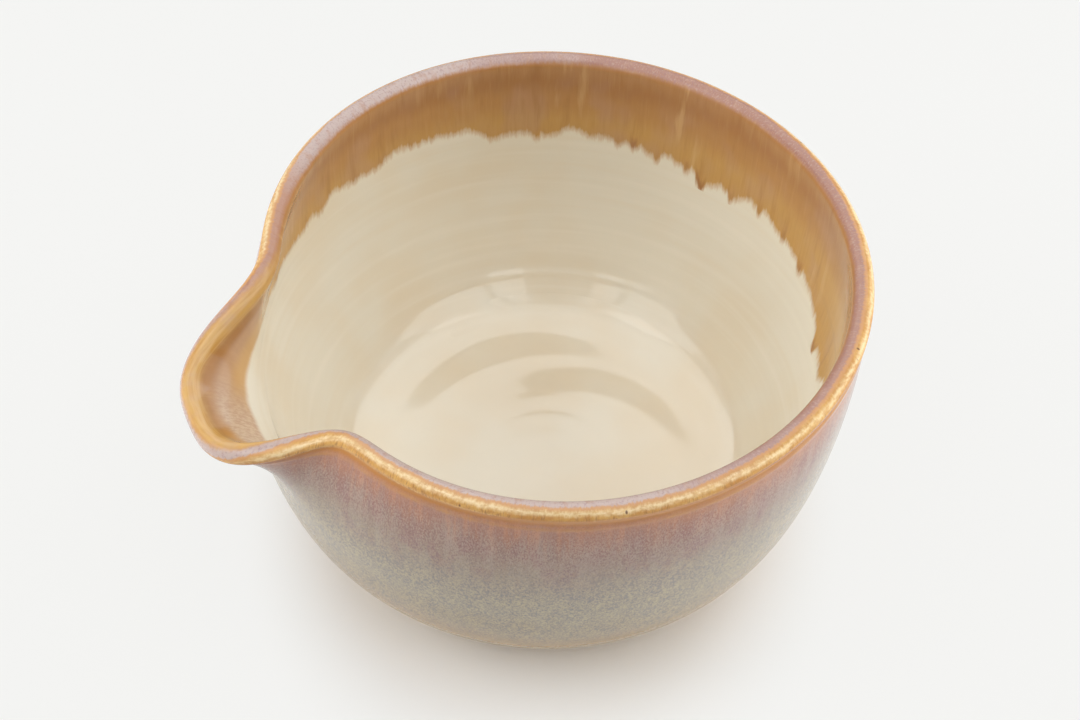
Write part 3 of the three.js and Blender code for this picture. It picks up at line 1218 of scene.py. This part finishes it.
    def lip(self, bench: Bench, run: NodeSocket) -> NodeSocket:
        """Colour of the lip's crest.

        Speckled mauve, paler on the spout's side and at the back, and rusty opposite the spout.

        Args:
            bench: where the nodes go.
            run: the vector that follows the running glaze.

        Returns:
            The colour.
        """
        dust = bench.noise(run, 0.55, 2, 0.6)
        blot = bench.noise(run, 2.4, 2)
        far = bench.streaks(run, 0.2, 34, 1)
        place = bench.place()
        x, y = bench.part(place, 0), bench.part(place, 1)
        left = bench.sum(bench.span(y, 20, 80, 0.0, 0.22), bench.span(x, 60, -40, -0.15, 0.6))
        tone = bench.mix(bench.span(bench.sum(far, left), 0.5, 0.95, 0.0, 0.9), self.mauve, self.pale)
        tone = bench.mix(bench.span(blot, 0.5, 0.72, 0.0, 0.7), tone, self.lilac)
        tone = bench.mix(bench.span(x, 20, 70, 0.0, 0.35), tone, self.rust)
        tone = bench.mix(bench.span(dust, 0.5, 0.7, 0.0, 0.45), tone, self.plum)
        return bench.mix(bench.span(dust, 0.48, 0.3, 0.0, 0.3), tone, self.pale)

    def bead(self, bench: Bench, run: NodeSocket, level: NodeSocket) -> NodeSocket:
        """Colour of the bead under the lip.

        Gold broken by amber, with a pale ridge that is partly the glaze breaking and partly a painted
        highlight, streaked along the rim and duller on the spout's beak apart from its near flank, brown
        dashes under it, and a few dark pits.

        Args:
            bench: where the nodes go.
            run: the vector that follows the running glaze.
            level: length from the lip's crest with frayed borders.

        Returns:
            The colour.
        """
        runs = bench.noise(bench.stretch(run, (0.5, 0.5, 1.0)), 0.7, 3, 0.6)
        slow = bench.streaks(run, 0.3, 11, 2)
        tone = bench.mix(bench.span(runs, 0.4, 0.66, 0.0, 0.75), self.gold, self.line)
        tone = bench.mix(bench.span(slow, 0.44, 0.66, 0.0, 0.6), tone, self.amber)
        lines = bench.noise(bench.stretch(run, (0.12, 0.12, 1.0)), 0.5, 2, 0.6)
        # Painted highlight with the glaze breaking pale on the bead's ridge, dimmed on the spout's beak apart
        # from its near flank.
        beak = bench.times(bench.mark("soft"), bench.span(bench.part(bench.place(), 1), -29, -22))
        lit = bench.sum(beak, 1.0, -0.6)
        broken = bench.times(lit, bench.span(bench.sum(lines, runs), 1.25, 0.84, 0.3, 0.9))
        ridge = bench.times(bench.window(level, *self.break_highlight_zone, 0.45), broken)
        tone = bench.mix(ridge, tone, self.pale_break_and_highlight)
        dashes = bench.streaks(run, 0.3, 0.5, 2, 0.6)
        dashes = bench.span(dashes, 0.52, 0.68, 0.0, 0.75)
        tone = bench.mix(bench.times(bench.window(level, *self.dash_zone, 0.6), dashes), tone, self.brown)
        holes = bench.span(bench.pits(run, 3.6), 0.13, 0.06)
        few = bench.span(bench.noise(run, 8, 1), 0.5, 0.62)
        return bench.mix(bench.times(holes, few), tone, self.pit)

    def colour(self, bench: Bench) -> NodeSocket:
        """Colour of the whole rim coat, from the cream below the amber edge to the first of the outer glaze.

        Each zone's borders are moved by fine noise that is drawn out down the wall, so they run and fray.
        On the spout's beak, apart from its near flank, the crest's colour and the bead start further out.
        Rust covers the crest at the far neck. By the near neck the gold is wider and the outer glaze starts
        later. On the spout's near flank the amber comes sooner, as painted shade.

        Args:
            bench: where the nodes go.

        Returns:
            The colour.
        """
        run, down, edge = bench.mark("flow", True), bench.mark("down"), bench.mark("edge")
        soft, drip = bench.mark("soft"), bench.mark("drip")
        teeth = bench.streaks(run, 0.2, 0.7, 2, 0.6)
        broad = bench.streaks(run, 0.25, 3.2, 1)
        fray = bench.sum(bench.sum(teeth, -0.5), bench.times(bench.sum(broad, -0.5), 2.6), 3.0)
        fray = bench.times(fray, bench.sum(soft, 1.0, -0.75))
        border = bench.sum(fray, edge)
        inner = self.inner_band(bench, run, down)
        inner = bench.mix(soft, inner, self.channel(bench, run, down, inner))
        tips = bench.times(bench.window(border, 0.4, 4.0, 1.6), bench.times(drip, 0.6))
        inner = bench.mix(tips, inner, self.tip)
        frill = bench.times(bench.window(border, -1.2, 0.4, 1.0), bench.sum(soft, 0.55, -0.55))
        cream = bench.mix(frill, self.cream.colour(bench), self.fringe)
        begun = bench.between(soft, bench.span(border, -1.3, 1.9), bench.span(border, -1.5, 2.5))
        tone = bench.mix(begun, cream, inner)
        shift = bench.streaks(run, 0.5, 0.8, 3, 0.65)
        slow = bench.streaks(run, 0.2, 9, 1)
        level = bench.sum(bench.sum(slow, -0.5), bench.sum(bench.sum(shift, -0.5), down, 1.2), 0.8)
        place = bench.place()
        x, y = bench.part(place, 0), bench.part(place, 1)
        neck = bench.times(bench.span(x, -48, -66), bench.span(y, 10, 40))
        flank = bench.times(soft, bench.span(y, -19, -30))
        beak = bench.sum(flank, soft, -1.0)
        within = bench.sum(neck, bench.sum(beak, level, -1.6), -0.9)
        tone = bench.mix(bench.span(within, *self.rust_zone, 0.0, 0.3), tone, self.rust)
        crest = bench.mix(bench.times(neck, 0.7), self.lip(bench, run), self.rust)
        tone = bench.mix(bench.span(within, *self.crest_zone), tone, crest)
        far = bench.sum(bench.span(y, -30, 40, 0.0, 0.6), bench.span(x, -20, 50, 0.08, -0.3))
        beyond = bench.sum(beak, bench.sum(far, bench.sum(neck, level, 0.5), -1.0), -0.8)
        beyond = bench.sum(flank, beyond, 0.5)
        tone = bench.mix(bench.span(beyond, *self.orange_zone, 0.0, 0.85), tone, self.orange)
        wide = bench.times(bench.span(y, -25, -32), bench.span(x, -40, -62))
        tone = bench.mix(bench.span(beyond, *self.bead_zone), tone, self.bead(bench, run, level))
        # On the spout's near flank the amber sets in sooner as painted shade; by the near neck it sets in
        # later.
        turned = bench.sum(wide, bench.times(flank, bench.span(y, -32, -26)), -1.0)
        tone = bench.mix(bench.span(bench.sum(turned, level), *self.amber_zone), tone, self.amber)
        outer = self.outside.colour(bench)
        sooner = bench.sum(wide, bench.sum(level, bench.span(x, -40, 60, 0.4, -1.0)), -0.6)
        tone = bench.mix(bench.span(sooner, *self.outer_zone), tone, outer)
        thrown = bench.times(bench.window(level, *self.line_zone, 0.8), bench.span(slow, 0.4, 0.6, 0.25, 0.6))
        return bench.mix(thrown, tone, self.line)

    def material(self) -> Material:
        """The finish of the rim, with fine relief down the wall inside and along the rim outside.

        Returns:
            The material.
        """
        bench = Bench(Slot.AMBER.value)
        colour = self.colour(bench)
        run, down = bench.mark("flow", True), bench.mark("down")
        inside, outside = bench.span(down, 0, -3), bench.span(down, -3, 0)
        runs = bench.streaks(run, 0.4, 1.6, 2)
        lines = bench.noise(bench.stretch(run, (0.3, 0.3, 1)), 0.9, 2)
        bench.bump(bench.sum(bench.times(inside, runs), bench.times(outside, lines)), 0.013)
        fine = bench.noise(run, 1.0, 2)
        return bench.gloss(colour, bench.span(fine, 0.3, 0.7, self.rough - 0.03, self.rough + 0.05))


@dataclass(frozen=True)
class BareClay:
    """Unglazed buff stoneware with grog."""

    body: Colour = paint(198, 170, 132)
    light: Colour = paint(214, 190, 154)
    grog: Colour = paint(140, 104, 72)
    rough: float = 0.85

    def material(self) -> Material:
        """The finish of the foot: pale clouds, turning lines round the axis and dark grit.

        Returns:
            The material.
        """
        bench = Bench(Slot.CLAY.value)
        place = bench.place()
        cloud = bench.noise(place, 6, 3)
        grit = bench.noise(place, 0.6, 2)
        turned = bench.noise(bench.stretch(place, (0.05, 0.05, 1.0)), 0.8, 2)
        tone = bench.mix(bench.span(cloud, 0.35, 0.65), self.body, self.light)
        tone = bench.mix(bench.span(turned, 0.5, 0.7, 0.0, 0.3), tone, self.grog)
        tone = bench.mix(bench.span(grit, 0.62, 0.72, 0.0, 0.8), tone, self.grog)
        bench.bump(grit, 0.06)
        return bench.gloss(tone, self.rough)


# The pieces


def dress(piece: Object, material: Material, node: Solid, slot: Slot) -> Object:
    """Gives a piece its finish and its place on the pot's one body, and hides the solid that it stands for.

    Args:
        piece: the piece.
        material: its finish.
        node: the solid that it stands for.
        slot: its material slot in the record.

    Returns:
        The piece.
    """
    piece.data.materials.append(material)
    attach(piece, "root")
    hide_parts(node.value)
    faces = sum(len(polygon.vertices) - 2 for polygon in piece.data.polygons)
    LOG.info("%s: %d triangles, %s", piece.name, faces, slot.value)
    return piece


@dataclass
class ClayBody:
    """The thrown clay under the glazes, bare at its foot."""

    glaze: GlazeForm
    finish: BareClay = field(default_factory=BareClay)
    columns: int = 480
    rows: int = 150
    even_share: float = 0.6
    bend_share: float = 4.0
    bend_limit: float = 1.5

    def build(self) -> Object:
        """The clay's section from floor to foot, carried round the pot and closed on poles.

        The rows stand closer where the section bends.

        Returns:
            The piece.
        """
        line = self.glaze.pot.section
        bend = np.abs(np.gradient(np.arctan2(line.lean_z, line.lean_r), line.along))
        weight = self.even_share + np.minimum(bend[1:], self.bend_limit) * self.bend_share
        pace = np.concatenate([[0.0], np.cumsum(np.diff(line.along) * weight)])
        along = np.interp(np.linspace(0, pace[-1], self.rows), pace, line.along)[1:-1]
        angle = ring(self.columns)
        grid, turn = np.broadcast_arrays(along[:, None], angle)
        points = self.glaze.pot.place(grid, turn, np.zeros_like(grid))
        return skin("stoneware_body", points, Ends.POLES, {})

    def dress(self, piece: Object) -> Object:
        """Bare clay on the body."""
        return dress(piece, self.finish.material(), Solid.CLAY, Slot.CLAY)


@dataclass
class LinerGlaze:
    """The cream glaze on the floor and the inner wall."""

    glaze: GlazeForm
    finish: CreamGlaze = field(default_factory=CreamGlaze)
    columns: int = 720
    front_rows: int = 120
    back_rows: int = 13
    tuck: float = 0.8
    tuck_depth: float = 0.02
    eye: float = 0.004

    def build(self) -> Object:
        """The liner's face from the floor's middle to the band, its tucked edge, and its back on the clay.

        The edge goes under the rim coat, and both ends close on poles inside a small eye.

        Returns:
            The piece.
        """
        angle = ring(self.columns)
        start = self.glaze.pot.section.along[0]
        stop = self.glaze.junction(angle)
        front = start + (stop - start) * np.linspace(self.eye, 1, self.front_rows)[:, None]
        back = start + (stop - start) * np.linspace(1, self.eye, self.back_rows)[:, None]
        turn = np.broadcast_to(angle, front.shape)
        under = stop + self.tuck
        face = self.glaze.lift(front, turn)
        edge = self.glaze.lift(under, angle) - self.tuck_depth
        lift = np.concatenate([face, edge, np.zeros(back.shape)])
        along = np.concatenate([front, under, back])
        points = self.glaze.pot.place(along, np.broadcast_to(angle, along.shape), lift)
        return skin("cream_liner", points, Ends.POLES, {})

    def dress(self, piece: Object) -> Object:
        """Cream glaze on the liner."""
        return dress(piece, self.finish.material(), Solid.LINER, Slot.CREAM)


@dataclass
class OuterGlaze:
    """The mottled glaze on the outside, from the collar to the bare foot."""

    glaze: GlazeForm
    finish: MottledGlaze = field(default_factory=MottledGlaze)
    columns: int = 720
    front_rows: int = 120
    back_rows: int = 12
    edge_waver: float = 0.5
    roll: float = 0.08
    roll_place: float = 1.4
    roll_width: float = 1.1
    edge_round: float = 1.2
    edge_least: float = 0.03

    def build(self) -> Object:
        """The coat's face from the collar to the wavering foot line, and its back on the clay.

        A bell thickens the coat near its lower edge, and a square root rounds the edge off.

        Returns:
            The piece.
        """
        angle = ring(self.columns)
        low = self.glaze.foot_line + self.edge_waver * waver(angle, 31, 3, 24)
        high = np.full_like(low, self.glaze.collar)
        front = high + (low - high) * np.linspace(0, 1, self.front_rows)[:, None]
        back = high + (low - high) * np.linspace(1, 0, self.back_rows)[:, None]
        turn = np.broadcast_to(angle, front.shape)
        to_edge = low - front
        lift = self.glaze.lift(front, turn) + self.roll * bell(to_edge, self.roll_place, self.roll_width)
        lift = lift * np.sqrt(np.clip(to_edge / self.edge_round, self.edge_least, 1))
        along = np.concatenate([front, back])
        turn = np.broadcast_to(angle, along.shape)
        points = self.glaze.pot.place(along, turn, np.concatenate([lift, np.zeros(back.shape)]))
        return skin("mottled_outer", points, Ends.JOINED, {"down": along, "flow": flow(along, turn)})

    def dress(self, piece: Object) -> Object:
        """Mottled glaze on the outside."""
        return dress(piece, self.finish.material(), Solid.OUTER, Slot.MOTTLED)


@dataclass
class RimGlaze:
    """The amber glaze on the band inside, the lip and the collar."""

    glaze: GlazeForm
    finish: AmberGlaze = field(default_factory=AmberGlaze)
    columns: int = 720
    band_rows: int = 64
    lip_rows: int = 52
    back_rows: int = 10
    lip_start: float = -4.0
    swell: float = 0.12
    swell_place: float = 1.6
    swell_width: float = 1.5
    spout_zone: tuple[float, float] = (18.0, 34.0)
    drip_zone: tuple[float, float] = (1.2, 3.6)

    def build(self) -> Object:
        """The coat's face from below the amber edge, over the lip, to the collar, and its back.

        A bell swells the coat along the amber edge, away from the spout. The marks tell the finish how far
        each point is from the crest and from the edge, and where the spout and the drips are.

        Returns:
            The piece.
        """
        angle = ring(self.columns)
        start = self.glaze.junction(angle)
        stop = self.glaze.collar
        band = start + (self.lip_start - start) * np.linspace(0, 1, self.band_rows)[:, None]
        lip = np.linspace(self.lip_start, stop, self.lip_rows)[1:, None]
        front = np.concatenate([band, np.broadcast_to(lip, (len(lip), self.columns))])
        back = stop + (start - stop) * np.linspace(0, 1, self.back_rows)[:, None]
        along = np.concatenate([front, back])
        turn = np.broadcast_to(angle, along.shape)
        edge_line = self.glaze.pot.along_inside(self.glaze.pot.bowl_height - self.glaze.ragged(angle))
        edge = along - edge_line
        swell = self.swell * bell(edge, self.swell_place, self.swell_width) * self.glaze.off_spout(turn)
        lift = self.glaze.lift(along, turn) + swell
        lift[len(front):] = 0.0
        marks = {
            "down": along,
            "edge": edge,
            "soft": 1 - ease(np.abs(np.degrees(turn)), *self.spout_zone),
            "drip": np.broadcast_to(ease(self.glaze.dripped(angle), *self.drip_zone), along.shape),
            "flow": flow(along, turn),
        }
        return skin("amber_rim", self.glaze.pot.place(along, turn, lift), Ends.JOINED, marks)

    def dress(self, piece: Object) -> Object:
        """Amber glaze on the rim."""
        return dress(piece, self.finish.material(), Solid.RIM, Slot.AMBER)


# The studio


class Use(Enum):
    """What a lamp is for: to light the scene, or to be mirrored in the glaze."""

    LIGHT = 1
    SHEEN = 2


@dataclass(frozen=True)
class SoftBox:
    """A square soft lamp that faces the middle of the bowl, with its place and size in millimetres."""

    name: str
    place: Point
    size: float
    level: float
    use: Use = Use.LIGHT

    def hang(self) -> None:
        """Puts the lamp in the scene."""
        place = Vector(self.place) * MM
        turn = place.to_track_quat("Z", "Y").to_matrix().to_4x4()
        size = self.size * MM
        lamp(self.name, size, size, self.level, Matrix.Translation(place) @ turn, self.use)


@dataclass(frozen=True)
class Window:
    """An upright bright pane at a distance from the bowl, with its borders as angles.

    start and stop are degrees round the bowl, from the near side towards the right; low and high are
    degrees above the table.
    """

    name: str
    start: float
    stop: float
    level: float
    reach: float = 800.0
    low: float = 28.0
    high: float = 70.0
    use: Use = Use.SHEEN

    def hang(self) -> None:
        """Puts the pane in the scene, between its two angles above the table."""
        middle = math.radians((self.start + self.stop) / 2)
        width = 2 * self.reach * math.tan(math.radians(abs(self.stop - self.start) / 2))
        bottom, top = (self.reach * math.tan(math.radians(angle)) for angle in (self.low, self.high))
        away = Vector((math.sin(middle), -math.cos(middle), 0.0))
        place = (away * self.reach + Vector((0, 0, (bottom + top) / 2))) * MM
        turn = away.to_track_quat("Z", "Y").to_matrix().to_4x4()
        matrix = Matrix.Translation(place) @ turn
        lamp(self.name, width * MM, (top - bottom) * MM, self.level, matrix, self.use)


def lamp(name: str, width: float, height: float, level: float, matrix: Matrix, use: Use) -> None:
    """Adds a flat lamp that the camera does not see.

    Args:
        name: its name.
        width: its width in metres.
        height: its height in metres.
        level: how bright it looks, with 1 for a white in the picture.
        matrix: its place and turn.
        use: whether it lights the scene or only shows in gloss.
    """
    data = bpy.data.lights.new(name, "AREA")
    data.shape = "RECTANGLE"
    data.size, data.size_y = width, height
    data.energy = math.pi * width * height * level
    holder = bpy.data.objects.new(name, data)
    holder.matrix_world = matrix
    holder.visible_camera = False
    holder.visible_diffuse = use is Use.LIGHT
    holder.visible_glossy = use is Use.SHEEN
    bpy.context.scene.collection.objects.link(holder)


@dataclass(frozen=True)
class Studio:
    """A pale floor, soft lamps round the bowl, bright panes for the gloss alone, and the photo's camera.

    A pane is named for the side of the bowl's floor that mirrors it, which is opposite to its own.
    """

    floor_half: float = 2.0
    floor_sink: float = 0.0001
    floor_colour: Colour = paint(240, 241, 240)
    floor_rough: float = 0.6
    floor_shine: float = 0.2
    backdrop: Colour = paint(244, 244, 242)
    plain_share: float = 0.9
    shadow_reach: tuple[float, float] = (86.0, 148.0)
    shadow_squeeze: float = 1.5
    mirror_reach: tuple[float, float] = (105.0, 180.0)
    sky_level: float = 0.95
    lamps: tuple[SoftBox | Window, ...] = (
        SoftBox("overhead_softbox", (-60.0, -150.0, 1000.0), 1300.0, 1.38),
        SoftBox("front_softbox", (-340.0, -760.0, 560.0), 900.0, 0.3),
        SoftBox("near_right_softbox", (740.0, -520.0, 340.0), 700.0, 2.2),
        SoftBox("right_softbox", (900.0, 80.0, 420.0), 800.0, 2.6),
        SoftBox("left_softbox", (-850.0, 330.0, 480.0), 700.0, 2.65),
        Window("low_left_window", -150.0, -90.0, 3.0, 900.0, 5.0, 28.0, Use.LIGHT),
        Window("low_front_window", -85.0, -35.0, 0.8, 900.0, 4.0, 20.0, Use.LIGHT),
        Window("low_rear_window", 150.0, 210.0, 0.6, 900.0, 5.0, 28.0, Use.LIGHT),
        Window("low_right_window", 40.0, 110.0, 5.5, 900.0, 1.0, 9.0, Use.LIGHT),
        SoftBox("ceiling_card", (144.0, 340.0, 1000.0), 1500.0, 1.6, Use.SHEEN),
        Window("left_window", 9.5, 60.0, 1.42),
        Window("left_pane", -11.5, 5.5, 1.6),
        Window("right_pane", -60.5, -46.0, 1.6),
        Window("right_window", -115.0, -64.5, 1.42),
    )
    azimuth: float = -23.235
    elevation: float = 48.158
    distance: float = 704.3
    aim_height: float = 101.0
    offset_right: float = 8.9
    offset_up: float = 97.8
    roll: float = 1.44
    focal: float = 2400.0
    image_width: float = 1080.0
    sensor_width: float = 36.0

    def floor(self) -> None:
        """A flat square of table, four metres wide, that takes the bowl's shadow."""
        square = np.array([[-1, -1, 0], [1, -1, 0], [1, 1, 0], [-1, 1, 0]])
        corner = square * self.floor_half - np.array([0, 0, self.floor_sink])
        mesh = bpy.data.meshes.new("table")
        mesh.from_pydata(corner.tolist(), [], [(0, 1, 2, 3)])
        table = bpy.data.objects.new("table", mesh)
        bpy.context.scene.collection.objects.link(table)
        mesh.materials.append(self.table_finish())

    def table_finish(self) -> Material:
        """White board that takes the shadow near the bowl and looks plain white further out.

        The plain white sets in by the distance from the bowl, on an oval that is longer towards the camera
        and away from it, and a little further out in reflections.

        Returns:
            The material.
        """
        bench = Bench("table_white")
        bench.shader.inputs["Base Color"].default_value = (*self.floor_colour, 1.0)
        bench.shader.inputs["Roughness"].default_value = self.floor_rough
        bench.shader.inputs["Specular IOR Level"].default_value = self.floor_shine
        glow = bench.node("ShaderNodeEmission")
        bench.put(glow.inputs["Color"], self.backdrop)
        path = bench.node("ShaderNodeLightPath")
        turn = bench.node("ShaderNodeMapping")
        bench.put(turn.inputs["Vector"], bench.place())
        turn.inputs["Rotation"].default_value = (0.0, 0.0, -math.radians(self.azimuth))
        oval = bench.length(bench.stretch(turn.outputs["Vector"], (self.shadow_squeeze, 1.0, 1.0)))
        far_out = bench.span(oval, *self.shadow_reach, 0.0, self.plain_share)
        plain = bench.times(path.outputs["Is Camera Ray"], far_out)
        glossy = bench.sum(path.outputs["Is Glossy Ray"], path.outputs["Is Transmission Ray"])
        mirrored = bench.times(glossy, bench.span(oval, *self.mirror_reach, 0.0, self.plain_share))
        both = bench.node("ShaderNodeMixShader")
        bench.put(both.inputs[0], bench.sum(plain, mirrored))
        bench.put(both.inputs[1], bench.shader.outputs[0])
        bench.put(both.inputs[2], glow.outputs[0])
        bench.put(bench.tree.nodes["Material Output"].inputs["Surface"], both.outputs[0])
        return bench.material

    def light(self) -> None:
        """White surroundings that the camera and reflections see but that give no light, and the lamps."""
        world = bpy.data.worlds.new("studio")
        bpy.context.scene.world = world
        world.use_nodes = True
        tree = world.node_tree
        tree.nodes.clear()
        path = tree.nodes.new("ShaderNodeLightPath")
        seen = path.outputs["Is Camera Ray"]
        for kind in ("Is Glossy Ray", "Is Transmission Ray"):
            either = tree.nodes.new("ShaderNodeMath")
            either.operation = "MAXIMUM"
            tree.links.new(seen, either.inputs[0])
            tree.links.new(path.outputs[kind], either.inputs[1])
            seen = either.outputs[0]
        level = tree.nodes.new("ShaderNodeMath")
        level.operation = "MULTIPLY"
        level.inputs[1].default_value = self.sky_level
        tree.links.new(seen, level.inputs[0])
        sky = tree.nodes.new("ShaderNodeBackground")
        sky.inputs["Color"].default_value = (1.0, 1.0, 1.0, 1.0)
        tree.links.new(level.outputs[0], sky.inputs["Strength"])
        output = tree.nodes.new("ShaderNodeOutputWorld")
        tree.links.new(sky.outputs[0], output.inputs["Surface"])
        for source in self.lamps:
            source.hang()

    def camera(self) -> None:
        """The photo's camera: turned about the rim's middle, raised, rolled and slid to frame it."""
        turn, rise, roll = (math.radians(angle) for angle in (self.azimuth, self.elevation, self.roll))
        level = np.array([math.cos(turn), math.sin(turn), 0.0])
        back = np.array([math.sin(turn) * math.cos(rise), -math.cos(turn) * math.cos(rise), math.sin(rise)])
        upright = np.cross(back, level)
        right = math.cos(roll) * level + math.sin(roll) * upright
        up = math.cos(roll) * upright - math.sin(roll) * level
        scale = self.distance / self.focal
        slide = scale * (self.offset_right * right + self.offset_up * up)
        eye = np.array([0, 0, self.aim_height]) + self.distance * back - slide
        lens = bpy.data.cameras.new("photo_camera")
        lens.sensor_fit = "HORIZONTAL"
        lens.sensor_width = self.sensor_width
        lens.lens = self.focal / self.image_width * lens.sensor_width
        holder = bpy.data.objects.new("photo_camera", lens)
        holder.matrix_world = Matrix(
            [[right[i], up[i], back[i], eye[i] * MM] for i in range(3)] + [[0.0, 0.0, 0.0, 1.0]]
        )
        bpy.context.scene.collection.objects.link(holder)
        bpy.context.scene.camera = holder


def main() -> None:
    """Sets up the studio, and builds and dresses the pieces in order."""
    logging.basicConfig(level=logging.INFO, format="%(message)s")
    bpy.context.scene.view_settings.view_transform = "Standard"
    studio = Studio()
    studio.camera()
    studio.floor()
    studio.light()
    glaze = GlazeForm()
    for piece in (ClayBody(glaze), LinerGlaze(glaze), OuterGlaze(glaze), RimGlaze(glaze)):
        piece.dress(piece.build())


if __name__ == "__main__":
    main()
